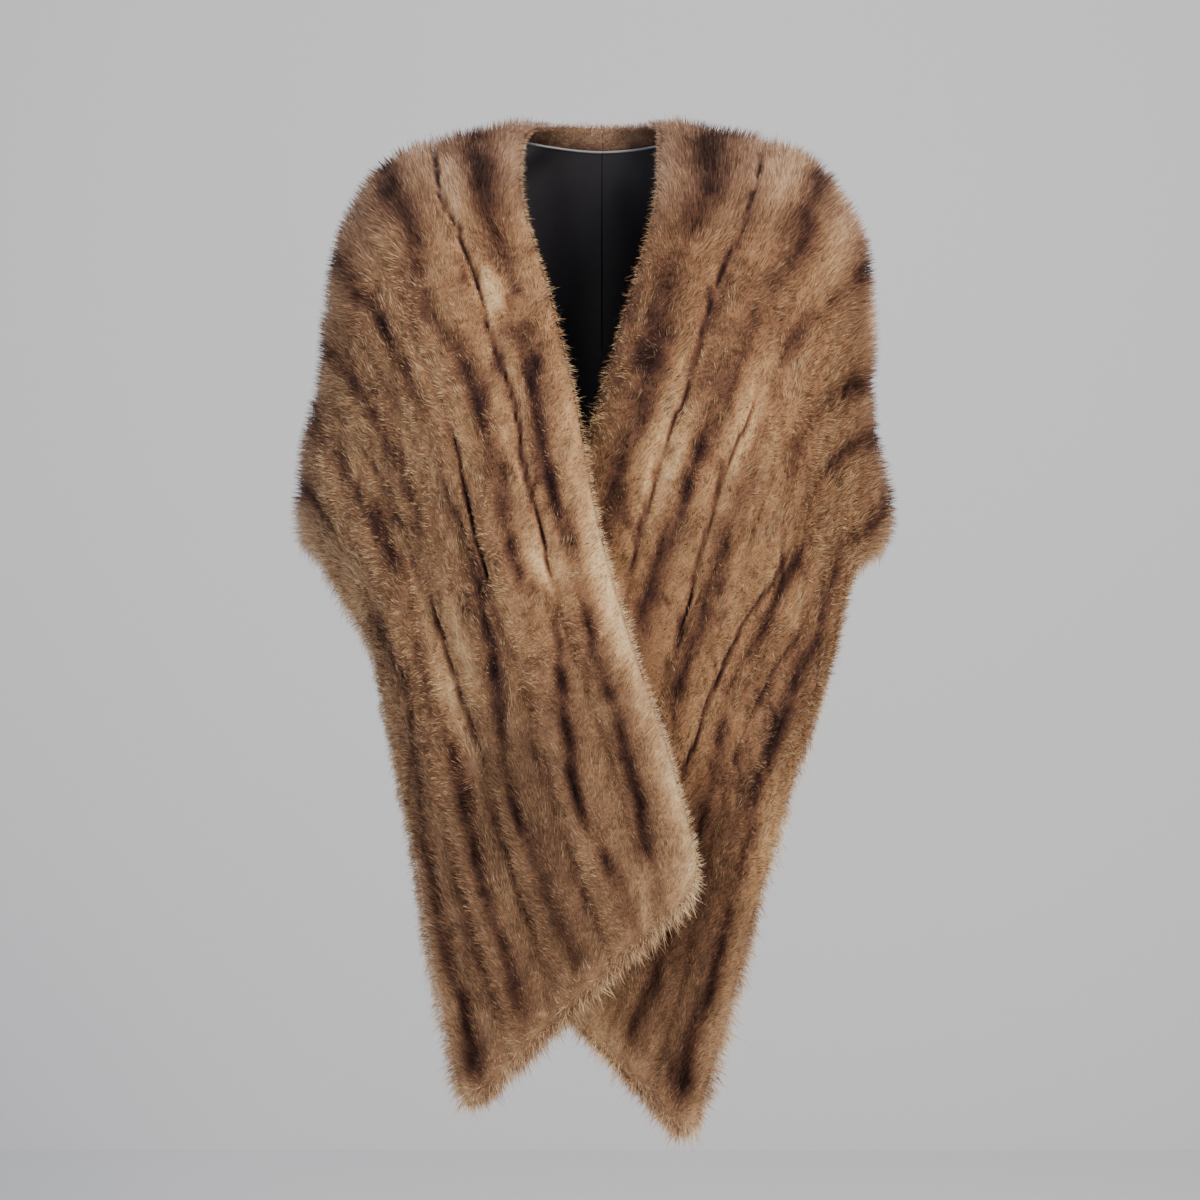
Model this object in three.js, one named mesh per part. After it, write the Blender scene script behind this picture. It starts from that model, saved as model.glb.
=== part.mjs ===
// An evening stole of let-out mink, as it lies when it is worn: round the back of the neck, over both
// shoulders and down the front, with the wearer's right front over the left. Millimetres, +Z up, the front
// faces -Y. The origin is the middle of the shoulders that carry it. The part is hollow and open all round.
import * as THREE from "three";

// Driving sizes.
const PILE = { middle: 12.5, seam: 8.5, edge: 7.5 }; // reach of the fur off the skin, across a row
const PILE_FULLNESS = 0.7; // power of the sine that rounds a row, where less is fuller
const END_ZONE = 0.2; // stations before a front end where the pile thins to its edge reach
const LINING = { thickness: 1.4, neckInset: 22, inset: 15, endInset: 15 }; // insets: turned fur edges
const PIPING = { radius: 1.1, sides: 6 };
const GAP = 0.3; // between pieces that are sewn together
const CORNER = { radius: 24, reach: 0.13 }; // rounding of the two front ends, reach as a share of the width
const INSERT_ENDS = 8; // the station where the insert row has tapered out
const LEAST_WIDTH = 0.4; // of the insert row there, in percent of the section
const STEPS_PER_STATION = 2.5;
const SECTION_SAMPLES = 48; // steps that measure a section's length
const NORMAL_STEP = { stations: 0.04, across: 0.02 }; // either way, to measure the skin's slope

// Sections across the stole, from the neck edge over the crown to the hem, as the skin lies. Each is a conic
// that leaves the neck towards the crown point and reaches the hem from it, and bend draws it into that
// corner. The first number of each point is the distance out from the centre line on the section's own side.
const NAPE = { neck: [0, 72, 51], crown: [0, 122, -26], hem: [0, 128, -352], bend: 0.9 };

// The wearer's right side, whose front lies on top.
const RIGHT = [
  { at: "back of the neck", neck: [40, 62, 50], crown: [92, 132, 0], hem: [96, 130, -353], bend: 0.9 },
  { at: "shoulder blade", neck: [62, 42, 45], crown: [172, 112, 22], hem: [180, 106, -347], bend: 1.05 },
  { at: "shoulder back", neck: [70, 22, 33], crown: [226, 62, 30], hem: [232, 62, -340], bend: 1.35 },
  { at: "shoulder top", neck: [72, -8, 10], crown: [232, 8, 40], hem: [251, 14, -334], bend: 1.85 },
  { at: "shoulder front", neck: [69, -78, -39], crown: [237, -60, 4], hem: [250, -12, -332], bend: 1.4 },
  { at: "above the bust", neck: [46, -121, -121], crown: [222, -122, -60], hem: [234, -44, -366], bend: 1.0 },
  { at: "bust", neck: [23, -146, -215], crown: [190, -160, -178], hem: [196, -70, -430], bend: 0.85 },
  { at: "midriff", neck: [4, -152, -318], crown: [152, -172, -338], hem: [175, -84, -519], bend: 0.75 },
  { at: "waist", neck: [-23, -154, -413], crown: [114, -172, -446], hem: [154, -100, -606], bend: 0.7 },
  { at: "high hip", neck: [-55, -152, -510], crown: [80, -168, -556], hem: [136, -120, -704], bend: 0.65 },
  { at: "front end", neck: [-84, -150, -614], crown: [18, -158, -702], hem: [114, -138, -810], bend: 0.6 },
];

// The wearer's left side, whose front lies underneath.
const LEFT = [
  { at: "back of the neck", neck: [37, 62, 50], crown: [90, 130, 0], hem: [92, 130, -353], bend: 0.9 },
  { at: "shoulder blade", neck: [52, 42, 46], crown: [168, 112, 22], hem: [172, 106, -350], bend: 1.05 },
  { at: "shoulder back", neck: [53, 20, 34], crown: [226, 62, 34], hem: [220, 62, -342], bend: 1.4 },
  { at: "shoulder top", neck: [51, -8, 12], crown: [236, 8, 42], hem: [234, 14, -336], bend: 1.9 },
  { at: "shoulder front", neck: [46, -76, -47], crown: [250, -56, 8], hem: [228, -12, -336], bend: 1.5 },
  { at: "above the bust", neck: [21, -106, -136], crown: [224, -112, -62], hem: [200, -46, -382], bend: 1.1 },
  { at: "bust", neck: [-11, -115, -246], crown: [192, -140, -212], hem: [182, -70, -465], bend: 0.9 },
  { at: "midriff", neck: [-35, -113, -341], crown: [130, -130, -370], hem: [156, -80, -551], bend: 0.75 },
  { at: "waist", neck: [-63, -109, -438], crown: [80, -122, -482], hem: [128, -92, -648], bend: 0.65 },
  { at: "high hip", neck: [-90, -105, -538], crown: [40, -118, -594], hem: [104, -100, -738], bend: 0.6 },
  { at: "front end", neck: [-121, -103, -646], crown: [-8, -114, -730], hem: [74, -106, -842], bend: 0.6 },
];

// The largest soft folds of the hanging cloth. station counts from the nape (0) to the front end (11), across
// goes from the neck edge (0) to the hem (1), along and over are the fold's half length in stations and half
// width across, slant turns it, and height is how far it stands out, or in where it is negative.
const FOLDS = [
  { side: "right", station: 6.2, across: 0.78, along: 2.4, over: 0.11, slant: -0.03, height: 7 },
  { side: "right", station: 6.9, across: 0.92, along: 2.0, over: 0.08, slant: -0.02, height: -7 },
  { side: "right", station: 8.2, across: 0.3, along: 2.6, over: 0.14, slant: 0.02, height: 6 },
  { side: "right", station: 8.6, across: 0.58, along: 2.4, over: 0.12, slant: 0.01, height: -6 },
  { side: "left", station: 6.0, across: 0.86, along: 2.2, over: 0.1, slant: -0.03, height: 7 },
  { side: "left", station: 6.6, across: 0.62, along: 2.2, over: 0.1, slant: 0.02, height: -6 },
  { side: "left", station: 9.0, across: 0.8, along: 2.2, over: 0.14, slant: 0, height: 5 },
  { side: "right", station: 4.4, across: 0.66, along: 1.3, over: 0.13, slant: 0, height: -7 },
  { side: "left", station: 4.6, across: 0.73, along: 1.3, over: 0.12, slant: 0, height: -10 },
  { side: "right", station: 4.4, across: 0.97, along: 0.9, over: 0.1, slant: 0, height: 8 },
  { side: "left", station: 4.6, across: 0.97, along: 0.9, over: 0.1, slant: 0, height: 7 },
  { side: "right", station: 2.0, across: 0.75, along: 1.2, over: 0.16, slant: 0.04, height: 6 },
  { side: "left", station: 2.3, across: 0.7, along: 1.2, over: 0.16, slant: 0.04, height: 5 },
];

const lastStation = RIGHT.length; // stations are numbered 0 at the nape, up to this at a front end

// One run of sections from the right front end, round the back, to the left front end.
function sectionsAllRound() {
  const point = ([x, y, z], side) => new THREE.Vector3(side * x, y, z);
  const placed = (row, side) => ({
    neck: point(row.neck, side),
    crown: point(row.crown, side),
    hem: point(row.hem, side),
    bend: row.bend,
  });
  const right = RIGHT.map((row) => placed(row, -1)).reverse();
  const left = LEFT.map((row) => placed(row, 1));
  return [...right, placed(NAPE, 1), ...left];
}

const sections = sectionsAllRound();
const through = (points) => new THREE.CatmullRomCurve3(points, false, "catmullrom", 0.5);
const neckCurve = through(sections.map((row) => row.neck));
const crownCurve = through(sections.map((row) => row.crown));
const hemCurve = through(sections.map((row) => row.hem));
const bendCurve = through(sections.map((row) => new THREE.Vector3(row.bend, 0, 0)));

// The section at a signed station: below 0 on the wearer's right, above 0 on the left.
function sectionAt(signedStation) {
  const t = (signedStation + lastStation) / (2 * lastStation);
  const neck = neckCurve.getPoint(t);
  const crown = crownCurve.getPoint(t);
  const hem = hemCurve.getPoint(t);
  const bend = bendCurve.getPoint(t).x;
  const points = [];
  const lengths = [0];
  for (let i = 0; i <= SECTION_SAMPLES; i += 1) {
    const s = i / SECTION_SAMPLES;
    const [a, b, c] = [(1 - s) ** 2, 2 * bend * s * (1 - s), s ** 2];
    const point = neck.clone().multiplyScalar(a).addScaledVector(crown, b).addScaledVector(hem, c);
    points.push(point.divideScalar(a + b + c));
    if (i > 0) lengths.push(lengths[i - 1] + points[i].distanceTo(points[i - 1]));
  }
  return { points, lengths, width: lengths[SECTION_SAMPLES] };
}

// Sections are asked for again and again at the same stations, so each is worked out once.
const knownSections = new Map();
function section(signedStation) {
  const key = signedStation.toFixed(6);
  if (!knownSections.has(key)) knownSections.set(key, sectionAt(signedStation));
  return knownSections.get(key);
}

// The smooth skin without its folds, at a fraction of the section's length from the neck edge.
function smoothSkin(signedStation, across) {
  const { points, lengths, width } = section(signedStation);
  const wanted = THREE.MathUtils.clamp(across, 0, 1) * width;
  let i = 1;
  while (i < SECTION_SAMPLES && lengths[i] < wanted) i += 1;
  const share = (wanted - lengths[i - 1]) / (lengths[i] - lengths[i - 1]);
  return points[i - 1].clone().lerp(points[i], share);
}

// The unit normal of the smooth skin, away from the wearer.
function outward(signedStation, across) {
  const { stations: du, across: dv } = NORMAL_STEP;
  const [u0, u1] = [Math.max(signedStation - du, -lastStation), Math.min(signedStation + du, lastStation)];
  const [v0, v1] = [Math.max(across - dv, 0), Math.min(across + dv, 1)];
  const along = smoothSkin(u1, across).sub(smoothSkin(u0, across));
  const down = smoothSkin(signedStation, v1).sub(smoothSkin(signedStation, v0));
  return along.cross(down).normalize();
}

function foldHeight(signedStation, across) {
  const side = signedStation < 0 ? "right" : "left";
  const station = Math.abs(signedStation);
  let height = 0;
  for (const fold of FOLDS) {
    if (fold.side !== side) continue;
    const away = station - fold.station;
    const over = across - fold.across - fold.slant * away;
    height += fold.height * Math.exp(-((away / fold.along) ** 2) - (over / fold.over) ** 2);
  }
  return height * Math.min(1, station); // no fold crosses the join at the centre back
}

// How far the rounded corners of a front end fall short of it, in stations.
function cornerRetreat(signedStation, across) {
  const toCorner = Math.min(across, 1 - across) / CORNER.reach;
  if (toCorner >= 1) return 0;
  const endSpacing = smoothSkin(Math.sign(signedStation) * (lastStation - 1), across)
    .distanceTo(smoothSkin(Math.sign(signedStation) * lastStation, across));
  return (CORNER.radius / endSpacing) * (1 - Math.sqrt(1 - (1 - toCorner) ** 2));
}

// A point of the stole: across the skin, and off it by a height along its normal.
function skinPoint(signedStation, across, off) {
  const v = THREE.MathUtils.clamp(across, 0, 1);
  const share = Math.abs(signedStation) / lastStation;
  const shortened = signedStation - Math.sign(signedStation) * share * cornerRetreat(signedStation, v);
  const normal = outward(shortened, v);
  return smoothSkin(shortened, v).addScaledVector(normal, foldHeight(shortened, v) + off);
}

// How wide the rows are across a section, in percent, from the neck edge to the hem. The insert row runs over
// the shoulders and the back, between rows 2 and 3, and tapers out on each front.
const ROWS = ["fur_row_1", "fur_row_2", "fur_insert", "fur_row_3", "fur_row_4", "fur_row_5"];
const ROW_WIDTHS = {
  right: [
    { station: 0, widths: [16.5, 16.5, 17, 17, 16.5, 16.5] },
    { station: 5, widths: [16.5, 16.5, 17, 17, 16.5, 16.5] },
    { station: 7, widths: [15.7, 16.3, 11, 15, 18, 24] },
    { station: 8.2, widths: [15.5, 18.5, 0, 21.5, 20, 24.5] },
    { station: 11, widths: [18.5, 18.5, 0, 21.5, 20, 21.5] },
  ],
  left: [
    { station: 0, widths: [16.5, 16.5, 17, 17, 16.5, 16.5] },
    { station: 3, widths: [19, 16.5, 16, 16.5, 16, 16] },
    { station: 5, widths: [19, 16.5, 16, 16.5, 16, 16] },
    { station: 7, widths: [19, 15.5, 11.5, 14, 15, 25] },
    { station: 8.2, widths: [20, 19, 0, 15.5, 15.5, 30] },
    { station: 11, widths: [20, 20, 0, 20, 20, 20] },
  ],
};
const insertIndex = ROWS.indexOf("fur_insert");

// Where each row starts and ends across a section, in the order neck to hem.
function rowBounds(signedStation) {
  const table = ROW_WIDTHS[signedStation < 0 ? "right" : "left"];
  const station = Math.abs(signedStation);
  const next = Math.max(1, table.findIndex((row) => row.station >= station - 1e-9));
  const [low, high] = [table[next - 1], table[next]];
  const t = THREE.MathUtils.smoothstep(station, low.station, high.station);
  const widths = low.widths.map((width, k) =>
    Math.max(LEAST_WIDTH, THREE.MathUtils.lerp(width, high.widths[k], t)),
  );
  const total = widths.reduce((sum, width) => sum + width, 0);
  const bounds = [0];
  for (const width of widths) bounds.push(bounds.at(-1) + width / total);
  return bounds;
}

const steps = Math.round(lastStation * STEPS_PER_STATION);
function stationsOf(side, until = lastStation) {
  const gapAtBack = GAP / 2 / section(0.5).width;
  const list = [];
  for (let i = 0; i <= steps; i += 1) {
    const station = Math.max((lastStation * i) / steps, gapAtBack);
    if (station <= until + 1e-9) list.push(side * station);
  }
  return list;
}

// A closed body through rings with the same number of points, with caps given as triangles of ring points.
// The four-cornered faces are split along the other diagonal after the ring points in turned, so that the
// facets of neighbouring pieces lie alike.
function loft(rings, cap, flip, turned = []) {
  const positions = rings.flat().flatMap((point) => [point.x, point.y, point.z]);
  const count = rings[0].length;
  const triangles = [];
  for (let r = 0; r + 1 < rings.length; r += 1) {
    for (let k = 0; k < count; k += 1) {
      const [a, b] = [r * count + k, r * count + ((k + 1) % count)];
      if (turned.includes(k)) triangles.push([a, b, a + count], [b, b + count, a + count]);
      else triangles.push([a, b, b + count], [a, b + count, a + count]);
    }
  }
  const last = (rings.length - 1) * count;
  for (const [a, b, c] of cap) {
    triangles.push([a, c, b], [last + a, last + b, last + c]);
  }
  const geometry = new THREE.BufferGeometry();
  geometry.setAttribute("position", new THREE.Float32BufferAttribute(positions, 3));
  geometry.setIndex(triangles.flatMap(([a, b, c]) => (flip ? [a, c, b] : [a, b, c])));
  geometry.computeVertexNormals();
  return geometry;
}

// The reach of the fur across a row, from one seam (0) to the next (1): a soft mound.
function pileReach(share, startsFree, endsFree) {
  const low = share < 0.5 ? (startsFree ? PILE.edge : PILE.seam) : endsFree ? PILE.edge : PILE.seam;
  return low + (PILE.middle - low) * Math.sin(Math.PI * share) ** PILE_FULLNESS;
}

// A fur row's ring: five points over the pile at these shares of its width, then three back along the skin.
const TOP_SHARES = [0, 0.16, 0.5, 0.84, 1];
const UNDER_SHARES = [1, 0.5, 0];
const FUR_CAP = [[0, 1, 7], [1, 2, 7], [7, 2, 6], [6, 2, 5], [2, 3, 5], [3, 4, 5]];
const FUR_TURNED = [4, 5, 6]; // so the far seam wall and the underside match the next row and the lining

// One fur row on one side, as the solid of its skin and its pile.
function furRow(side, index) {
  const isInsert = index === insertIndex;
  const rings = stationsOf(side, isInsert ? INSERT_ENDS : lastStation).map((signedStation) => {
    const station = Math.abs(signedStation);
    const bounds = rowBounds(signedStation);
    const hasInsert = station < INSERT_ENDS;
    const middle = (bounds[insertIndex] + bounds[insertIndex + 1]) / 2;
    const half = GAP / 2 / section(signedStation).width;
    let [start, end] = [bounds[index], bounds[index + 1]];
    if (!hasInsert && index === insertIndex - 1) end = middle;
    if (!hasInsert && index === insertIndex + 1) start = middle;
    if (index > 0) start += half;
    if (index < ROWS.length - 1) end -= half;
    const atEnd = station > lastStation - END_ZONE;
    const top = TOP_SHARES.map((share) => {
      const reach = pileReach(share, index === 0, index === ROWS.length - 1);
      const off = atEnd ? Math.min(reach, PILE.edge) : reach;
      return skinPoint(signedStation, THREE.MathUtils.lerp(start, end, share), off);
    });
    const under = UNDER_SHARES.map((share) =>
      skinPoint(signedStation, THREE.MathUtils.lerp(start, end, share), GAP / 2),
    );
    return [...top, ...under];
  });
  return loft(rings, FUR_CAP, side > 0, FUR_TURNED);
}

// The lining's columns across: the seams and middles of the fur rows. The first and the last lie on the chord
// from the fur's edge to the middle of its outer row, so that they follow the facets of the fur's underside.
function liningRow(signedStation, off) {
  const bounds = rowBounds(signedStation);
  const columns = [];
  for (let k = 0; k < ROWS.length; k += 1) {
    columns.push((bounds[k] + bounds[k + 1]) / 2);
    if (k < ROWS.length - 1) columns.push(bounds[k + 1]);
  }
  const points = columns.map((across) => skinPoint(signedStation, across, off));
  const { width } = section(signedStation);
  const turnedPoint = (edge, middle, inset) =>
    skinPoint(signedStation, edge, off - GAP)
      .lerp(skinPoint(signedStation, middle, off - GAP), inset / (Math.abs(middle - edge) * width));
  return [
    turnedPoint(0, columns[0], LINING.neckInset),
    ...points,
    turnedPoint(1, columns.at(-1), LINING.inset),
  ];
}

// The lining's rings stop short of the front end by the turned edge too.
function liningRings(side, off) {
  const rings = stationsOf(side).map((signedStation) => liningRow(signedStation, off));
  const [before, end] = rings.slice(-2);
  rings[rings.length - 1] = end.map((point, k) =>
    point.clone().lerp(before[k], Math.min(1, LINING.endInset / point.distanceTo(before[k]))),
  );
  return rings;
}

function lining(side) {
  const outer = liningRings(side, -GAP / 2);
  const inner = liningRings(side, -GAP / 2 - LINING.thickness);
  const rings = outer.map((points, r) => [...points, ...inner[r].reverse()]);
  const count = rings[0].length;
  const cap = [];
  for (let k = 0; k + 1 < count / 2; k += 1) {
    const [a, b, c, d] = [k, k + 1, count - 2 - k, count - 1 - k];
    cap.push([a, b, c], [a, c, d]);
  }
  return loft(rings, cap, side > 0);
}

// The piping along the lining's neck edge, on the inside, where it meets the turned fur.
function piping(side) {
  const path = liningRings(side, -GAP / 2 - LINING.thickness).map((points) => points[0]);
  const neckward = stationsOf(side).map((signedStation) => skinPoint(signedStation, 0, 0));
  const rings = path.map((point, r) => {
    const inward = outward(stationsOf(side)[r], 0).negate();
    const towardsNeck = neckward[r].clone().sub(point).normalize();
    const centre = point.clone().addScaledVector(inward, PIPING.radius + GAP);
    const ring = [];
    for (let k = 0; k < PIPING.sides; k += 1) {
      const angle = (2 * Math.PI * k) / PIPING.sides;
      ring.push(centre.clone()
        .addScaledVector(towardsNeck, PIPING.radius * Math.cos(angle))
        .addScaledVector(inward, PIPING.radius * Math.sin(angle)));
    }
    return ring;
  });
  const cap = [];
  for (let k = 1; k + 1 < PIPING.sides; k += 1) cap.push([0, k, k + 1]);
  return loft(rings, cap, side < 0);
}

const furMaterial = new THREE.MeshStandardMaterial({ color: 0x8a6648, roughness: 0.9, metalness: 0 });
const satinMaterial = new THREE.MeshStandardMaterial({ color: 0x16141a, roughness: 0.35, metalness: 0 });
const pipingMaterial = new THREE.MeshStandardMaterial({ color: 0x8d8f96, roughness: 0.5, metalness: 0 });

const group = new THREE.Group();
function add(name, geometry, material) {
  const mesh = new THREE.Mesh(geometry, material);
  mesh.name = name;
  group.add(mesh);
}

for (const [word, side] of [["right", -1], ["left", 1]]) {
  ROWS.forEach((name, index) => add(`${name}_${word}`, furRow(side, index), furMaterial));
  add(`lining_${word}`, lining(side), satinMaterial);
  add(`piping_${word}`, piping(side), pipingMaterial);
}

export default group;
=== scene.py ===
import math

import bmesh
import bpy
import numpy as np
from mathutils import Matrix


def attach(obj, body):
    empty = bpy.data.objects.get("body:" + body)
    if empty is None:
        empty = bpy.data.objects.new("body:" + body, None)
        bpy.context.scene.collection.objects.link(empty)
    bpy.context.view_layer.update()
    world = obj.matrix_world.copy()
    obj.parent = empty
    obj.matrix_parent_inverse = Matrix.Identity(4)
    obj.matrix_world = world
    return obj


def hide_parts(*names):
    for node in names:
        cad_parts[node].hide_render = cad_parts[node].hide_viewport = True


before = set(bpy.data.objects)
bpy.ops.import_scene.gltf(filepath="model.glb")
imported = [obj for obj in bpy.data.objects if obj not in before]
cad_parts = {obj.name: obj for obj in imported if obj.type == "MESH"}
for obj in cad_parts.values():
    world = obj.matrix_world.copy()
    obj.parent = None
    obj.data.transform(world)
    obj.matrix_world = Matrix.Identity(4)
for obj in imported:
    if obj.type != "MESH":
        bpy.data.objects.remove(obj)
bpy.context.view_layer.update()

# An evening stole of let-out mink. Sizes are in millimetres until a mesh is made, when they turn to metres.
# Signed stations run along the stole, from -11 at the right front end over 0 at the nape to 11 at the left
# front end, and across runs over it, from 0 at the neck edge to 1 at the hem.
MM = 0.001
LAST = 11
ROWS = ["row_1", "row_2", "insert", "row_3", "row_4", "row_5"]
SIDES = {"right": -1, "left": 1}


def table(columns, *rows):
    """Rows of values as dictionaries, under the names of the columns."""
    return [dict(zip(columns.split(), row)) for row in rows]


# Camera, light and backdrop

CAMERA = {"x": -1.8, "away": 2200, "height": -380, "view_width": 1062, "sensor": 36}
FLOOR = {"height": -1360, "wall_behind": 2230, "half_width": 4500, "in_front": 3500, "wall_height": 3200}
LIGHTS = table(
    "name at size power color",
    ("window_light", (1500, -1900, 1300), 1000, 106, "#FFF2E0"),
    ("fill_light", (-1900, -1700, 500), 1800, 26, "#EEF2FF"),
    ("top_light", (0, 300, 1900), 1600, 20, "#FFFFFF"),
)
LIT_POINT = (0, 0, -400)


def linear(hex_color):
    """A colour written as sRGB hex, as the linear numbers that shaders take."""
    parts = [int(hex_color[i : i + 2], 16) / 255 for i in (1, 3, 5)]
    return tuple(c / 12.92 if c <= 0.04045 else ((c + 0.055) / 1.055) ** 2.4 for c in parts)


def add_node(tree, kind, settings=(), values=(), links=()):
    """Adds a node, with its settings, the values of its inputs, and the outputs its inputs are linked to."""
    node = tree.nodes.new("ShaderNode" + kind)
    for name, value in dict(settings).items():
        setattr(node, name, value)
    for name, value in dict(values).items():
        node.inputs[name].default_value = value
    for name, output in dict(links).items():
        tree.links.new(output, node.inputs[name])
    return node


def new_material(name, values):
    """A material, with the values of its shader's inputs. Text is a colour in sRGB hex."""
    material = bpy.data.materials.new(name)
    material.use_nodes = True
    shader = material.node_tree.nodes["Principled BSDF"]
    for socket, value in values.items():
        shader.inputs[socket].default_value = (*linear(value), 1) if isinstance(value, str) else value
    return material, material.node_tree, shader


def add_object(name, data):
    """Puts a mesh, a light or a camera into the scene."""
    obj = bpy.data.objects.new(name, data)
    bpy.context.scene.collection.objects.link(obj)
    return obj


def mesh_object(name, bm, material):
    """Finishes a bmesh as an object of the scene."""
    mesh = bpy.data.meshes.new(name)
    bm.to_mesh(mesh)
    bm.free()
    mesh.materials.append(material)
    return add_object(name, mesh)


camera_data = bpy.data.cameras.new("camera")
camera_data.sensor_width = CAMERA["sensor"]
camera_data.lens = CAMERA["sensor"] * CAMERA["away"] / CAMERA["view_width"]
camera = add_object("camera", camera_data)
camera.location = (CAMERA["x"] * MM, -CAMERA["away"] * MM, CAMERA["height"] * MM)
camera.rotation_euler = (math.radians(90), 0, 0)
bpy.context.scene.camera = camera

for row in LIGHTS:
    light_data = bpy.data.lights.new(row["name"], "AREA")
    light_data.shape = "DISK"
    light_data.size = row["size"] * MM
    light_data.energy = row["power"]
    light_data.color = linear(row["color"])
    light = add_object(row["name"], light_data)
    at = np.array(row["at"]) * MM
    light.location = at
    aim = np.array(LIT_POINT) * MM - at
    tilt = math.atan2(math.hypot(aim[0], aim[1]), -aim[2])
    light.rotation_euler = (tilt, 0, math.atan2(aim[1], aim[0]) - math.radians(90))

world = bpy.data.worlds.new("studio")
world.use_nodes = True
daylight = world.node_tree.nodes["Background"].inputs
daylight["Color"].default_value = (*linear("#D9DCE3"), 1)
daylight["Strength"].default_value = 0.5
bpy.context.scene.world = world

wall_material, _, _ = new_material("pale_wall_paint", {"Base Color": "#E2E4E8", "Roughness": 0.9})

bm = bmesh.new()
corners = [
    bm.verts.new((side * FLOOR["half_width"] * MM, -FLOOR["in_front"] * MM, FLOOR["height"] * MM))
    for side in (-1, 1)
]
front_edge = bm.edges.new(corners)
for step in [(0, FLOOR["in_front"] + FLOOR["wall_behind"], 0), (0, 0, FLOOR["wall_height"])]:
    made = bmesh.ops.extrude_edge_only(bm, edges=[front_edge])["geom"]
    moved = [v for v in made if isinstance(v, bmesh.types.BMVert)]
    bmesh.ops.translate(bm, verts=moved, vec=[c * MM for c in step])
    front_edge = next(e for e in made if isinstance(e, bmesh.types.BMEdge) and set(e.verts) == set(moved))
room = mesh_object("floor_and_wall", bm, wall_material)


# The skin: sections from the neck edge over the crown to the hem, as in the part

NAPE = {"neck": (0, 72, 51), "crown": (0, 122, -26), "hem": (0, 128, -352), "bend": 0.9}

# From the back of the neck over the shoulder to the front end. The first number of each point is the
# distance out from the centre line on the section's own side.
RIGHT = table(
    "neck crown hem bend",
    ((40, 62, 50), (92, 132, 0), (96, 130, -353), 0.9),
    ((62, 42, 45), (172, 112, 22), (180, 106, -347), 1.05),
    ((70, 22, 33), (226, 62, 30), (232, 62, -340), 1.35),
    ((72, -8, 10), (232, 8, 40), (251, 14, -334), 1.85),
    ((69, -78, -39), (237, -60, 4), (250, -12, -332), 1.4),
    ((46, -121, -121), (222, -122, -60), (234, -44, -366), 1),
    ((23, -146, -215), (190, -160, -178), (196, -70, -430), 0.85),
    ((4, -152, -318), (152, -172, -338), (175, -84, -519), 0.75),
    ((-23, -154, -413), (114, -172, -446), (154, -100, -606), 0.7),
    ((-55, -152, -510), (80, -168, -556), (136, -120, -704), 0.65),
    ((-84, -150, -614), (18, -158, -702), (114, -138, -810), 0.6),
)
LEFT = table(
    "neck crown hem bend",
    ((37, 62, 50), (90, 130, 0), (92, 130, -353), 0.9),
    ((52, 42, 46), (168, 112, 22), (172, 106, -350), 1.05),
    ((53, 20, 34), (226, 62, 34), (220, 62, -342), 1.4),
    ((51, -8, 12), (236, 8, 42), (234, 14, -336), 1.9),
    ((46, -76, -47), (250, -56, 8), (228, -12, -336), 1.5),
    ((21, -106, -136), (224, -112, -62), (200, -46, -382), 1.1),
    ((-11, -115, -246), (192, -140, -212), (182, -70, -465), 0.9),
    ((-35, -113, -341), (130, -130, -370), (156, -80, -551), 0.75),
    ((-63, -109, -438), (80, -122, -482), (128, -92, -648), 0.65),
    ((-90, -105, -538), (40, -118, -594), (104, -100, -738), 0.6),
    ((-121, -103, -646), (-8, -114, -730), (74, -106, -842), 0.6),
)

# The soft folds of the hanging cloth: along and over are a fold's half length in stations and half width
# across, slant turns it, and height is how far it stands out, or in where it is negative.
FOLDS = table(
    "station across along over slant height",
    (-6.2, 0.78, 2.4, 0.11, -0.03, 7),
    (-6.9, 0.92, 2, 0.08, -0.02, -7),
    (-8.2, 0.3, 2.6, 0.14, 0.02, 6),
    (-8.6, 0.58, 2.4, 0.12, 0.01, -6),
    (6, 0.86, 2.2, 0.1, -0.03, 7),
    (6.6, 0.62, 2.2, 0.1, 0.02, -6),
    (9, 0.8, 2.2, 0.14, 0, 5),
    (-4.4, 0.66, 1.3, 0.13, 0, -7),
    (4.6, 0.73, 1.3, 0.12, 0, -10),
    (-4.4, 0.97, 0.9, 0.1, 0, 8),
    (4.6, 0.97, 0.9, 0.1, 0, 7),
    (-2, 0.75, 1.2, 0.16, 0.04, 6),
    (2.3, 0.7, 1.2, 0.16, 0.04, 5),
)
CORNER = {"radius": 24, "reach": 0.13}  # rounding of the two front ends
SECTION_SAMPLES = 64
NORMAL_STEP = {"stations": 0.04, "across": 0.02}

# How wide the rows are across a section, in percent. The insert tapers out on each front.
ROW_WIDTHS = table(
    "side station widths",
    ("right", 0, (16.5, 16.5, 17, 17, 16.5, 16.5)),
    ("right", 5, (16.5, 16.5, 17, 17, 16.5, 16.5)),
    ("right", 7, (15.7, 16.3, 11, 15, 18, 24)),
    ("right", 8.2, (15.5, 18.5, 0, 21.5, 20, 24.5)),
    ("right", 11, (18.5, 18.5, 0, 21.5, 20, 21.5)),
    ("left", 0, (16.5, 16.5, 17, 17, 16.5, 16.5)),
    ("left", 3, (19, 16.5, 16, 16.5, 16, 16)),
    ("left", 5, (19, 16.5, 16, 16.5, 16, 16)),
    ("left", 7, (19, 15.5, 11.5, 14, 15, 25)),
    ("left", 8.2, (20, 19, 0, 15.5, 15.5, 30)),
    ("left", 11, (20, 20, 0, 20, 20, 20)),
)


def placed(section, side):
    """A section's numbers in one list, on its own side."""
    turn = np.array([side, 1, 1])
    points = [np.array(section[k]) * turn for k in ("neck", "crown", "hem")]
    return np.concatenate([*points, [section["bend"]]])


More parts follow.
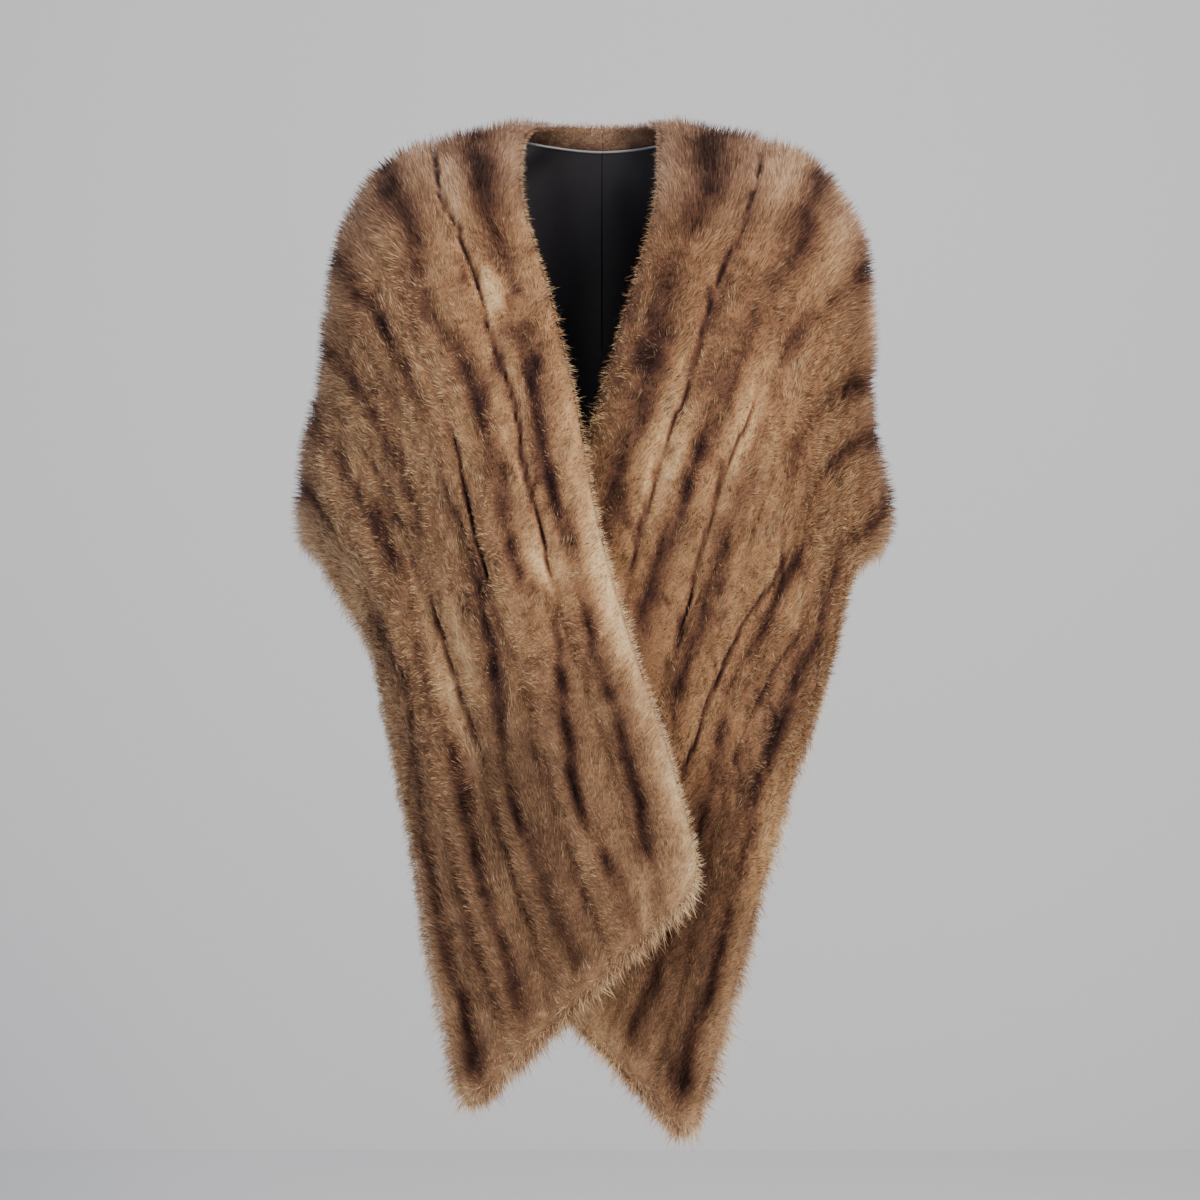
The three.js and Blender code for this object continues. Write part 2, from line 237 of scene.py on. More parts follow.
SECTIONS = np.array([placed(s, -1) for s in reversed(RIGHT)] + [placed(s, 1) for s in [NAPE, *LEFT]])


def curve_through(points, t):
    """A uniform Catmull-Rom curve through points, at the parameters t."""
    ends = np.vstack([2 * points[0] - points[1], points, 2 * points[-1] - points[-2]])
    i = np.clip(np.floor(t).astype(int), 0, len(points) - 2)
    w = (t - i)[:, None]
    p0, p1, p2, p3 = ends[i], ends[i + 1], ends[i + 2], ends[i + 3]
    v0, v1 = (p2 - p0) / 2, (p3 - p1) / 2
    return (2 * p1 - 2 * p2 + v0 + v1) * w**3 + (3 * p2 - 3 * p1 - 2 * v0 - v1) * w**2 + v0 * w + p1


def section_lines(stations):
    """The points down each station's section, and their lengths from the neck edge."""
    rows = curve_through(SECTIONS, stations + LAST)
    s = np.linspace(0, 1, SECTION_SAMPLES + 1)
    a, b, c = (1 - s) ** 2, 2 * s * (1 - s) * rows[:, 9:10], s**2
    neck, crown, hem = rows[:, None, 0:3], rows[:, None, 3:6], rows[:, None, 6:9]
    points = a[None, :, None] * neck + b[:, :, None] * crown + c[None, :, None] * hem
    points /= (a + b + c)[:, :, None]
    steps = np.linalg.norm(np.diff(points, axis=1), axis=2)
    return points, np.hstack([np.zeros((len(rows), 1)), np.cumsum(steps, axis=1)])


def smooth_skin(stations, across):
    """The skin without its folds, for arrays of stations and shares of the section's length."""
    flat, share = stations.ravel(), np.clip(across.ravel(), 0, 1)
    points, lengths = section_lines(flat)
    wanted = share * lengths[:, -1]
    i = np.clip((lengths[:, 1:-1] < wanted[:, None]).sum(axis=1) + 1, 1, SECTION_SAMPLES)
    each = np.arange(len(flat))
    before, after = lengths[each, i - 1], lengths[each, i]
    t = ((wanted - before) / (after - before))[:, None]
    return (points[each, i - 1] * (1 - t) + points[each, i] * t).reshape(*stations.shape, 3)


def unit(vectors):
    """The vectors at length 1."""
    return vectors / np.maximum(np.linalg.norm(vectors, axis=-1, keepdims=True), 1e-12)


def skin_slopes(stations, across):
    """Unit directions along the stole and down the section, and the outward normal."""
    du, dv = NORMAL_STEP["stations"], NORMAL_STEP["across"]
    ahead, behind = np.minimum(stations + du, LAST), np.maximum(stations - du, -LAST)
    below, above = np.minimum(across + dv, 1), np.maximum(across - dv, 0)
    along = smooth_skin(ahead, across) - smooth_skin(behind, across)
    down = smooth_skin(stations, below) - smooth_skin(stations, above)
    return unit(along), unit(down), unit(np.cross(along, down))


def ease(x):
    """Rises smoothly from 0 at 0 to 1 at 1."""
    x = np.clip(x, 0, 1)
    return x * x * (3 - 2 * x)


def bell(x, y=0):
    """A smooth hump: 1 at 0, about a third at 1, and near 0 from 2 on."""
    return np.exp(-(x**2) - y**2)


def fold_height(stations, across):
    """How far the folds stand out at each place."""
    height = np.zeros(stations.shape)
    for fold in FOLDS:
        own_side = np.sign(stations) == np.sign(fold["station"])
        away = np.abs(stations) - abs(fold["station"])
        past = across - fold["across"] - fold["slant"] * away
        rise = fold["height"] * bell(away / fold["along"], past / fold["over"])
        height += np.where(own_side, rise, 0)
    return height * np.minimum(1, np.abs(stations))


def shortened(stations, across):
    """Stations drawn in at the rounded corners of the front ends."""
    to_corner = np.minimum(np.minimum(across, 1 - across) / CORNER["reach"], 1)
    side = np.where(stations < 0, -1.0, 1.0)
    last = smooth_skin(side * LAST, across)
    end_spacing = np.linalg.norm(smooth_skin(side * (LAST - 1), across) - last, axis=-1)
    retreat = CORNER["radius"] / end_spacing * (1 - np.sqrt(1 - (1 - to_corner) ** 2))
    return stations - side * np.abs(stations) / LAST * retreat


# The skin is worked out once, on a fine grid, and looked up between its points after that.
GRID = {"per_station": 30, "over": 100}
grid_stations = np.linspace(-LAST, LAST, 2 * LAST * GRID["per_station"] + 1)
grid_across = np.linspace(0, 1, GRID["over"] + 1)
at_station, at_across = np.meshgrid(grid_stations, grid_across, indexing="ij")
drawn_in = shortened(at_station, at_across)
grid_along, grid_down, grid_normal = skin_slopes(drawn_in, at_across)
grid_skin = smooth_skin(drawn_in, at_across) + grid_normal * fold_height(drawn_in, at_across)[..., None]
grid_stretch = np.linalg.norm(np.gradient(grid_skin, grid_stations, axis=0), axis=-1)
grid_width = np.linalg.norm(np.diff(grid_skin, axis=1), axis=-1).sum(axis=1)[:, None] + 0 * at_across


def look_up(field, stations, across):
    """A field's values between the grid's points."""
    u = np.clip((stations + LAST) * GRID["per_station"], 0, len(grid_stations) - 1.001)
    v = np.clip(across * GRID["over"], 0, GRID["over"] - 0.001)
    i, j = np.floor(u).astype(int), np.floor(v).astype(int)
    fu, fv = u - i, v - j
    if field.ndim == 3:
        fu, fv = fu[..., None], fv[..., None]
    low = field[i, j] * (1 - fv) + field[i, j + 1] * fv
    high = field[i + 1, j] * (1 - fv) + field[i + 1, j + 1] * fv
    return low * (1 - fu) + high * fu


def skin_point(stations, across, off):
    """Points of the skin, moved off it along the normal."""
    normal = unit(look_up(grid_normal, stations, across))
    return look_up(grid_skin, stations, across) + normal * np.asarray(off)[..., None]


def directions(side, stations, across):
    """Unit directions towards the front end and down the section, and the outward normal."""
    along, down, normal = (unit(look_up(f, stations, across)) for f in (grid_along, grid_down, grid_normal))
    return along * SIDES[side], down, normal


def row_bounds(side, stations):
    """Where the rows start and end across the stole: seven columns for each station."""
    own = [row for row in ROW_WIDTHS if row["side"] == side]
    at = np.abs(stations)
    bounds = np.zeros((*at.shape, len(ROWS) + 1))
    for low, high in zip(own, own[1:]):
        t = ease((at - low["station"]) / (high["station"] - low["station"]))[..., None]
        widths = np.array(low["widths"]) * (1 - t) + np.array(high["widths"]) * t
        inside = (at >= low["station"])[..., None]
        ends = np.cumsum(widths, axis=-1) / widths.sum(axis=-1, keepdims=True)
        bounds[..., 1:] = np.where(inside, ends, bounds[..., 1:])
    return bounds


# The colour of the fur: dark stripes down the middles of the rows, pale flanks beside the seams

# How far the tone strays: in soft areas and fine spots, darker in creases as painted shade, and in the curls
# of worn fur.
TONE = {"soft": 0.09, "fine": 0.08, "crease": 0.24, "curls": 0.08}

# The tone between the stripes, from the nape to the front end: station and tone. 0 is cream and 1 the
# darkest brown.
BASE_TONE = {
    "right": [(0, 0.36), (4, 0.34), (5.2, 0.34), (6.5, 0.37), (8.5, 0.35), (9.5, 0.31), (11, 0.33)],
    "left": [(0, 0.36), (4, 0.38), (5.2, 0.4), (6, 0.39), (7.2, 0.36), (8.5, 0.33), (11, 0.34)],
}

# Each stripe's points: the station, and in percent its middle across, its half width and its darkness.
RIGHT_STRIPES = [
    [(0, 8.3, 4.5, 60), (3.6, 9, 4, 60), (4, 9.5, 4, 75), (5.2, 8.5, 3.5, 70), (5.6, 8, 3, 40),
     (6.2, 10, 3, 30), (6.6, 9, 2.5, 80), (7, 8.5, 2, 85), (7.6, 10.5, 2, 85), (8, 9.5, 2, 70),
     (8.4, 10, 2, 45), (9, 11, 1.8, 75), (9.6, 11.5, 1.8, 85), (10.2, 11.5, 2, 80), (10.5, 13, 3, 80),
     (10.75, 15, 3, 40), (11, 15, 3, 0)],
    [(0, 24.7, 4.5, 55), (4, 25, 3.5, 60), (4.8, 25.5, 3, 70), (5.3, 25, 3, 60), (6, 28, 3, 40),
     (6.6, 25, 2.5, 60), (7, 23.5, 2, 85), (7.6, 24, 2, 85), (8.1, 25, 2, 55), (8.5, 19, 2, 50),
     (8.8, 20, 2.5, 80), (9.2, 24, 2.5, 85), (9.7, 28.5, 2.2, 90), (10.3, 29.5, 2.2, 85), (10.6, 27, 3, 90),
     (10.8, 26, 2.5, 40), (11, 26, 3, 0)],
    [(0, 41.5, 4.5, 55), (4, 44, 3.5, 55), (4.6, 44, 3, 60), (5.2, 42, 3, 60), (5.7, 40, 2.5, 60),
     (6.2, 38.5, 2.5, 70), (6.8, 38, 2, 45), (7.4, 38.5, 2, 30), (8, 36.5, 2.5, 80), (8.4, 38.5, 3, 75),
     (8.8, 43, 3, 75), (9.1, 47, 2.5, 80), (9.6, 49, 2, 85), (10.2, 48.5, 2, 80), (10.6, 47.5, 3, 85),
     (10.8, 47, 2.5, 40), (11, 47, 3, 0)],
    [(0, 58.5, 4.5, 55), (4, 60, 4, 50), (5, 60, 3.5, 55), (5.6, 56, 3, 50), (6.2, 52, 2, 75),
     (6.6, 51, 2, 60), (7, 50, 2, 30), (7.4, 50, 2, 0)],
    [(0, 75.3, 4.5, 55), (4, 74, 4, 60), (5, 73, 4, 50), (5.8, 70, 3, 50), (6.4, 68, 3, 60),
     (6.8, 66, 2.5, 85), (7.2, 64.5, 2.5, 85), (7.5, 62, 2.5, 40), (8, 66, 2.5, 35), (8.6, 66, 3, 45),
     (9.05, 66, 4, 80), (9.6, 68, 2.5, 75), (10.2, 69, 2, 80), (10.6, 69, 3, 80), (10.8, 70, 3, 40),
     (11, 70, 3, 0)],
    [(0, 91.8, 4.5, 55), (4, 90, 3, 70), (5, 90, 3, 70), (5.6, 86, 3, 70), (6.1, 83, 2.5, 70),
     (6.6, 84, 3, 30), (7.1, 86, 4, 60), (7.5, 80, 5, 70), (7.9, 76, 5, 70), (8.4, 82, 5, 70),
     (8.8, 87, 4, 60), (9.4, 89, 2.5, 65), (10, 89, 2.5, 70), (10.5, 89, 3.5, 80), (10.75, 90, 3, 50),
     (11, 90, 3, 0)],
    [(9.1, 37, 1.5, 0), (9.4, 37, 1.5, 40), (10.5, 38, 1.5, 35), (10.7, 38, 1.5, 0)],
    [(9.2, 58, 1.5, 0), (9.4, 58, 1.5, 40), (10.4, 57, 1.5, 40), (10.7, 57, 1.5, 0)],
    [(9.2, 78, 2, 0), (9.6, 78, 2, 40), (10.5, 78, 2, 35), (10.7, 78, 2, 0)],
]
LEFT_STRIPES = [
    [(0, 8.3, 4.5, 60), (3, 9.5, 4.5, 60), (3.8, 10, 4.5, 75), (4.6, 10, 4.5, 75), (5.1, 10, 3.5, 70),
     (5.4, 11, 2.5, 60), (5.55, 11, 2, 10), (5.8, 8, 3, 40), (6.2, 7.5, 3, 45), (6.5, 9.5, 2, 70),
     (6.9, 11, 2, 85), (7.2, 9.5, 2, 70), (7.6, 9, 2.5, 60), (8.2, 10, 3, 50), (10, 10, 3, 50),
     (10.6, 10, 3.5, 70), (11, 10, 3, 0)],
    [(0, 24.7, 4.5, 55), (3, 27, 4, 55), (4, 30, 3, 55), (4.8, 30, 3, 50), (5.2, 30, 2.5, 55),
     (5.5, 31.5, 2.5, 50), (6.1, 30, 2.5, 35), (6.6, 28, 2, 55), (7, 27.5, 2, 75), (7.3, 28, 2, 65),
     (7.7, 27, 2.5, 65), (8.2, 26, 2.5, 60), (9, 30, 3, 50), (10.6, 30, 3.5, 60), (11, 30, 3, 0)],
    [(0, 41.5, 4.5, 55), (3, 44, 4, 55), (4, 48.5, 3.5, 55), (4.8, 47.5, 3, 60), (5.2, 45, 3, 70),
     (5.7, 42, 2.5, 70), (6.2, 39, 2, 65), (6.5, 38, 2, 40), (7, 40, 2.5, 40), (7.6, 42, 3, 50),
     (8.1, 44, 3, 65), (8.6, 45, 3, 60), (10.6, 48, 3.5, 60), (11, 48, 3, 0)],
    [(0, 58.5, 4.5, 55), (3, 62, 4, 55), (4, 69, 3.5, 55), (4.8, 68, 3.5, 60), (5.2, 65, 3, 65),
     (5.7, 59, 3, 65), (6.2, 53, 3, 65), (6.5, 50, 3, 60), (6.8, 49, 3, 10), (7, 49, 3, 0)],
    [(0, 75.3, 4.5, 55), (3, 77, 4, 55), (4.8, 78, 3, 60), (5.2, 76, 2.5, 65), (5.7, 73, 2.5, 60),
     (6.1, 68, 2.5, 60), (6.5, 62, 2.5, 55), (6.8, 59, 3, 10), (6.9, 59, 2, 0)],
    [(0, 91.8, 4.5, 55), (3, 92, 4, 60), (4.2, 90, 3.5, 80), (5, 92, 3.5, 70), (5.4, 91, 3, 80),
     (5.9, 86, 3, 60), (6.4, 80, 3, 60), (6.8, 77, 3, 50), (7.1, 80, 3, 60), (7.6, 79.5, 3, 85),
     (8.2, 80, 3, 75), (8.8, 82, 3, 80), (9.3, 86, 3, 80), (10, 87.5, 3, 85), (10.5, 88, 3.5, 85),
     (10.75, 90, 3, 50), (11, 90, 3, 0)],
    [(6.8, 64, 2.5, 0), (7.05, 63.5, 2.5, 75), (7.3, 61, 2, 60), (8.2, 60, 2, 50), (8.6, 63, 2.5, 60),
     (9, 66, 3, 60), (10, 68, 2.5, 70), (10.7, 68, 3, 80), (10.85, 68, 3, 30), (11, 68, 3, 0)],
]
STRIPES = {"right": RIGHT_STRIPES, "left": LEFT_STRIPES}

# Single patches of darker or, where tone is negative, paler fur: half sizes along in stations and over. The
# pale ones are partly paler fur and partly painted highlight on ridges and edges that catch the light.
PATCHES = table(
    "station across along over tone",
    # Painted highlight along the right front's inner edge, which faces the window light.
    (-8.8, 0.02, 1.9, 0.05, -0.3),
    (-5.2, 0.14, 0.6, 0.025, -0.15),
    (-6.2, 0.13, 0.3, 0.04, -0.35),
    (-6.9, 0.15, 0.6, 0.02, -0.2),
    (-7.3, 0.19, 0.7, 0.02, -0.15),
    (-7.2, 0.29, 0.4, 0.02, -0.15),
    (-8.2, 0.18, 0.25, 0.05, -0.3),
    (-7, 0.42, 0.35, 0.05, -0.22),
    (-8.3, 0.49, 0.45, 0.035, -0.28),
    (-8.3, 0.6, 0.7, 0.03, -0.2),
    (-6.2, 0.6, 0.4, 0.05, -0.15),
    (-6.8, 0.84, 0.4, 0.05, -0.25),
    (-10.7, 0.2, 0.25, 0.04, -0.2),
    (-8.28, 0, 0.26, 0.009, -0.5),
    (-8.02, 0, 0.03, 0.014, -0.9),
    (-10.4, 0, 0.12, 0.012, -0.6),
    (7, 0.09, 0.7, 0.06, 0.14),
    (5, 0.24, 0.8, 0.025, -0.15),
    (5, 0.38, 0.9, 0.04, -0.2),
    (4.6, 0.57, 0.8, 0.04, -0.15),
    (6.9, 0.17, 0.6, 0.03, -0.3),
    (7.1, 0.22, 0.4, 0.02, -0.25),
    (6.9, 0.35, 0.5, 0.03, -0.28),
    (7.2, 0.68, 0.3, 0.03, -0.12),
    (9, 0.73, 0.8, 0.09, 0.22),
    (10.68, 0.88, 0.16, 0.06, 0.3),
    (-10.76, 0.9, 0.13, 0.05, 0.28),
)

# Where seams open to a dark line, from one station to another: the gap is cut into the fur and darkened with
# painted shade. They are counted from the neck edge.
SEAMS_SHOWN = table(
    "seam from to open",
    (1, -4.05, -8.5, 1),
    (2, -6.9, -8.2, 0.8),
    (4, -6.1, -7.3, 0.5),
    (4, -7.6, -9.2, 1),
    (5, -6.8, -7.8, 0.6),
    (1, 4.2, 8.1, 0.9),
    (2, 6.4, 8.4, 0.8),
    (4, 7, 9.1, 0.9),
    (5, 7, 8.3, 0.7),
)
EDGE_TONE = {"reach": 22, "tone": -0.17, "end_share": 0.7}  # pale border along the hem and the front ends


LATTICE = 256  # cells after which noise repeats


def noise(x, y, seed):
    """Smooth noise between 0 and 1, one cell to a unit."""
    lattice = np.random.default_rng(seed).random((LATTICE, LATTICE))
    i, j = np.floor(x).astype(int), np.floor(y).astype(int)
    fx, fy = ease(x - i), ease(y - j)
    i0, i1, j0, j1 = i % LATTICE, (i + 1) % LATTICE, j % LATTICE, (j + 1) % LATTICE
    low = lattice[i0, j0] * (1 - fy) + lattice[i0, j1] * fy
    high = lattice[i1, j0] * (1 - fy) + lattice[i1, j1] * fy
    return low * (1 - fx) + high * fx


STATION_LENGTH = 100  # millimetres from one station to the next, on average


def spots(stations, widths_across, size_along, size_over, seed):
    """Noise whose cells are size_along by size_over millimetres, from -1 to 1."""
    return 2 * noise(stations * STATION_LENGTH / size_along + 300, widths_across / size_over + 60, seed) - 1


def stripe_depth(side, stations, across, width):
    """How dark the stripes are at each place, from 0 to 1."""
    at = np.abs(stations)
    over = across * width
    light = np.ones(at.shape)
    broken = 0.85 + 0.4 * spots(stations, over, 38, 30, 6) + 0.35 * spots(stations, over, 13, 9, 7)
    for index, stripe in enumerate(STRIPES[side]):
        points = np.array(stripe) / (1, 100, 100, 100)
        row = over * 0 + 171 * index
        wobble = 0.012 * spots(stations, row, 45, 50, 5) + 0.007 * spots(stations, row, 15, 50, 15)
        middle, half, dark = (np.interp(at, points[:, 0], points[:, k]) for k in (1, 2, 3))
        away = np.abs(across - middle - wobble) / np.maximum(half, 0.01)
        shape = 0.6 * np.exp(-(away**1.7)) + 0.4 * bell(2.2 * away)
        dark *= (1 + 0.45 * ease(5.8 - at) * ease((at - 1) / 2)) * (1 - 0.1 * ease(at - 8.8))
        light *= 1 - np.clip(dark * broken, 0, 0.97) * shape
    return 1 - light


WORN = {"from": 5.2, "until": 8.4, "below": 0.2}  # worn most between two stations, and a little below


def worn(stations):
    """Where the fur is short and plush from wear, from 0 to 1."""
    at = np.abs(stations)
    return ease(at - WORN["from"]) * (1 - (1 - WORN["below"]) * ease(at - WORN["until"]))


def creases(stations, over):
    """Thin wandering creases of the worn plush on the fronts, from 0 to 1."""
    line = bell(spots(stations, over, 46, 9, 51) / 0.13)
    some = ease((spots(stations, over, 40, 22, 52) + 0.05) / 0.4)
    return line * some * worn(stations)


def fur_tone(side, stations, across, width):
    """How dark the fur is."""
    at = np.abs(stations)
    over = across * width
    base = np.interp(at, *np.array(BASE_TONE[side]).T)
    tone = base + (1 - base) * stripe_depth(side, stations, across, width)
    # Patches of tone, the pale ones partly painted highlight.
    for patch in PATCHES:
        if patch["station"] * SIDES[side] > 0:
            away = (stations - patch["station"]) / patch["along"]
            tone += patch["tone"] * bell(away, (across - patch["across"]) / patch["over"])
    to_hem, to_end = (1 - across) * width, (LAST - at) * STATION_LENGTH
    for to_edge, share in [(to_hem, 1), (to_end, EDGE_TONE["end_share"])]:
        tone += EDGE_TONE["tone"] * share * bell(to_edge / EDGE_TONE["reach"])
    tone += TONE["soft"] * spots(stations, over, 60, 30, 8) + TONE["fine"] * spots(stations, over, 11, 6, 9)
    # Painted shade: darker down in the creases.
    tone += TONE["crease"] * creases(stations, over)
    curls = bell(spots(stations, over, 7, 5.5, 53) / 0.16)
    tone += TONE["curls"] * worn(stations) * (curls - 0.3)
    return np.clip(tone, 0, 1)


# Materials

# Evenly from the palest hair to the darkest. Worn fur on the fronts is warm. The cool greyer colour of the
# long hair on the shoulders is painted sheen, the pale wall's reflection on hair seen at a grazing angle.
WARM_FUR = ["#F0DAB0", "#D0A97A", "#A47B58", "#73503C", "#482E28", "#281918"]
COOL_FUR = ["#E2D4C3", "#C3AA95", "#9A806E", "#705449", "#49332D", "#2A1C1A"]


def fur_ramp(tree, tone_output, colors):
    """A ramp from cream over brown to the dark middle of a pelt."""
    ramp = add_node(tree, "ValToRGB", links={"Fac": tone_output})
    elements = ramp.color_ramp.elements
    while len(elements) < len(colors):
        elements.new(0.5)
    for element, index in zip(elements, range(len(colors))):
        element.position = index / (len(colors) - 1)
        element.color = (*linear(colors[index]), 1)
    return ramp.outputs["Color"]


def fur_color(tree, tone_output, cool_output):
    """The fur's colour from its tone and its coolness."""
    warm, cool = (fur_ramp(tree, tone_output, colors) for colors in (WARM_FUR, COOL_FUR))
    return add_node(tree, "Mix", {"data_type": "RGBA"}, links={0: cool_output, 6: warm, 7: cool}).outputs[2]


# Mink guard hair: round, glossy and stiff, so it catches fine highlights along its length.
pile_material, tree, shader = new_material(
    "mink_hair",
    {"Roughness": 0.42, "Specular IOR Level": 0.28, "Specular Tint": "#E8C8A6",
     "Sheen Weight": 0.04, "Sheen Roughness": 0.4, "Sheen Tint": "#F3DFC0"},
)
tone_map = add_node(tree, "UVMap", {"uv_map": "tone"})
tone_parts = add_node(tree, "SeparateXYZ", links={"Vector": tone_map.outputs["UV"]})
pile_color = fur_color(tree, tone_parts.outputs["X"], tone_parts.outputs["Y"])
tree.links.new(pile_color, shader.inputs["Base Color"])

# Mink underfur: dense, matt and downy, a little paler than the hair above it.
DOWN_TUFT = 1.2  # millimetres over a tuft of down
underfur_material, tree, shader = new_material(
    "mink_underfur", {"Roughness": 0.85, "Specular IOR Level": 0.15, "Sheen Weight": 0.05}
)
underfur_tone = add_node(tree, "Attribute", {"attribute_name": "tone"})
place = add_node(tree, "TexCoord")
down_noise = add_node(
    tree, "TexNoise", values={"Scale": 1 / (DOWN_TUFT * MM), "Detail": 3, "Roughness": 0.6},
    links={"Vector": place.outputs["Object"]},
)
spread = add_node(
    tree, "MapRange", values={"To Min": -0.12, "To Max": 0.3},
    links={"Value": down_noise.outputs["Fac"]},
)
mixed_tone = add_node(
    tree, "Math", {"operation": "ADD"},
    links={0: underfur_tone.outputs["Fac"], 1: spread.outputs["Result"]},
)
underfur_cool = add_node(tree, "Attribute", {"attribute_name": "cool"})
underfur_color = fur_color(tree, mixed_tone.outputs["Value"], underfur_cool.outputs["Fac"])
bump = add_node(
    tree, "Bump", values={"Strength": 0.6, "Distance": 1.5 * MM},
    links={"Height": down_noise.outputs["Fac"]},
)
tree.links.new(underfur_color, shader.inputs["Base Color"])
tree.links.new(bump.outputs["Normal"], shader.inputs["Normal"])

# Black acetate satin: smooth long floats that give a soft streak of light, with the faint line of its warp.
WARP_PITCH = 2.513  # millimetres
WAVE_PERIOD = math.pi / 10  # of the wave texture at scale 1
satin_material, tree, shader = new_material(
    "black_satin",
    {"Base Color": "#1B1920", "Roughness": 0.32, "Sheen Weight": 0.6, "Sheen Roughness": 0.3},
)
lining_map = add_node(tree, "UVMap", {"uv_map": "cloth"})
warp = add_node(
    tree, "TexWave", {"bands_direction": "X"},
    {"Scale": WAVE_PERIOD / (WARP_PITCH * MM), "Distortion": 1.5, "Detail": 2},
    {"Vector": lining_map.outputs["UV"]},
)
warp_bump = add_node(
    tree, "Bump", values={"Strength": 0.15, "Distance": 0.1 * MM},
    links={"Height": warp.outputs["Fac"]},
)
tree.links.new(warp_bump.outputs["Normal"], shader.inputs["Normal"])

# Silver-grey rayon cord: twisted and slightly glossy.
piping_material, _, _ = new_material(
    "silver_grey_cord", {"Base Color": "#8D8F96", "Roughness": 0.45, "Sheen Weight": 0.3}
)


# Pelts: the sewn rows of each side with their underfur, as one closed shell

# The reach of the fur off the skin, how much of it the downy underfur fills, and the width over which the
# fur rounds off to an edge.
PILE = {"middle": 12.5, "seam": 8.5, "edge": 7.5, "fullness": 0.7, "underfur": 0.6, "rounding": 9}
SKIN_OFF = 0.15
# Closed is how open a hidden seam is, and clear how near a seam no hair grows.
SEAM = {"depth": 6, "half_width": 1.5, "waver": 2.2, "closed": 0.15, "clear": 0.6}
# Valleys lie under the stripes and notches at the seams.
RELIEF = {"valley": 6.5, "notch": 6, "mounds": 1.8, "tufts": 1.1, "stipple": 1.5, "crease": 3}
TURNED = {"neck": 22, "hem": 15, "end": 15, "reach": 4}  # fur turned to the inside along the edges
PELT_STEP = 5  # millimetres along
INNER_COLUMNS = 18
PELT_SHARES = [0, 0.05, 0.12, 0.22, 0.34, 0.5, 0.66, 0.78, 0.88, 0.95]  # columns over each row


def rows_at(side, stations, across):
    """Each place's row, its share of the row's width, how far past the nearest seam it is, and how open that
    seam shows, from 0 to 1."""
    bounds = row_bounds(side, stations)
    row = np.clip((across[..., None] >= bounds[..., 1:-1]).sum(axis=-1), 0, len(ROWS) - 1)
    start = np.take_along_axis(bounds, row[..., None], -1)[..., 0]
    end = np.take_along_axis(bounds, row[..., None] + 1, -1)[..., 0]
    share = (across - start) / np.maximum(end - start, 1e-6)
    width = look_up(grid_width, stations, across)
    past = (across[..., None] - bounds[..., 1:-1]) * width[..., None]
    nearest = np.abs(past).argmin(axis=-1)
    past = np.take_along_axis(past, nearest[..., None], -1)[..., 0]
    past += SEAM["waver"] * spots(stations, 0 * across, 24, 50, 12)
    past += 0.4 * SEAM["waver"] * spots(stations, 0 * across, 7, 50, 13)
    at = np.abs(stations)
    opened = np.full(at.shape, SEAM["closed"])
    for shown in SEAMS_SHOWN:
        first, last = shown["from"] * SIDES[side], shown["to"] * SIDES[side]
        within = ease((at - first) / 0.3) * ease((last - at) / 0.3) * shown["open"]
        within *= 0.9 + 0.25 * spots(stations, 0 * across, 16, 50, 14)
        opened = np.where(nearest + 1 == shown["seam"], np.maximum(opened, within), opened)
    return row, share, past, opened


def pile_reach(side, stations, across, row, share):
    """How far the fur reaches off the skin: a mound between the seams, with valleys under the stripes."""
    at = np.abs(stations)
    width = look_up(grid_width, stations, across)
    over = across * width
    on_shoulder = ease(at - 1) * ease(6 - at)
    first_seam = ((row == 0) & (share > 0.5)) | ((row == 1) & (share < 0.5))
    low = PILE["seam"] - RELIEF["notch"] * on_shoulder * np.where(first_seam, 1, 0.3)
    low = np.where((row == 0) & (share < 0.5), PILE["edge"], low)
    low = np.where((row == len(ROWS) - 1) & (share >= 0.5), PILE["edge"], low)
    mound = np.sin(np.pi * np.clip(share, 0, 1)) ** PILE["fullness"]
    valley = RELIEF["valley"] * (0.4 + 0.6 * ease((at - 4.5) / 1.5))
    valley *= stripe_depth(side, stations, across, width)
    uneven = RELIEF["mounds"] * spots(stations, over, 42, 26, 16)
    uneven += RELIEF["tufts"] * spots(stations, over, 15, 10, 17)
    uneven += RELIEF["stipple"] * worn(stations) * spots(stations, over, 8, 6, 18)
    uneven -= RELIEF["crease"] * creases(stations, over)
    return low + (PILE["middle"] - low) * mound - valley + uneven


def edge_taper(stations, to_edge):
    """Falls from 1 to 0 over the last millimetres before the edges and the front ends."""
    to_end = (LAST - np.abs(stations)) * look_up(grid_stretch, stations, stations * 0 + 0.5)
    across_taper, end_taper = (np.sqrt(np.clip(d / PILE["rounding"], 0, 1)) for d in (to_edge, to_end))
    return across_taper * end_taper


def underfur_height(side, stations, across):
    """How far the underfur stands off the skin."""
    row, share, seams, opened = rows_at(side, stations, across)
    to_edge = np.minimum(across, 1 - across) * look_up(grid_width, stations, across)
    height = PILE["underfur"] * pile_reach(side, stations, across, row, share)
    height -= SEAM["depth"] * (0.3 + 0.7 * opened) * bell(seams / SEAM["half_width"])
    return SKIN_OFF + np.maximum(height * edge_taper(stations, to_edge), 0)


def inner_height(stations, across):
    """How far the turned fur stands inwards, along the edges only."""
    width = look_up(grid_width, stations, across)
    to_end = (LAST - np.abs(stations)) * look_up(grid_stretch, stations, across)
    height = 0
    for edge, distance in [("neck", across * width), ("hem", (1 - across) * width), ("end", to_end)]:
        share = np.clip(distance / TURNED[edge], 0, 1)
        height = np.maximum(height, np.sin(np.pi * share) ** 0.6 * TURNED["reach"] * PILE["underfur"])
    return SKIN_OFF - height


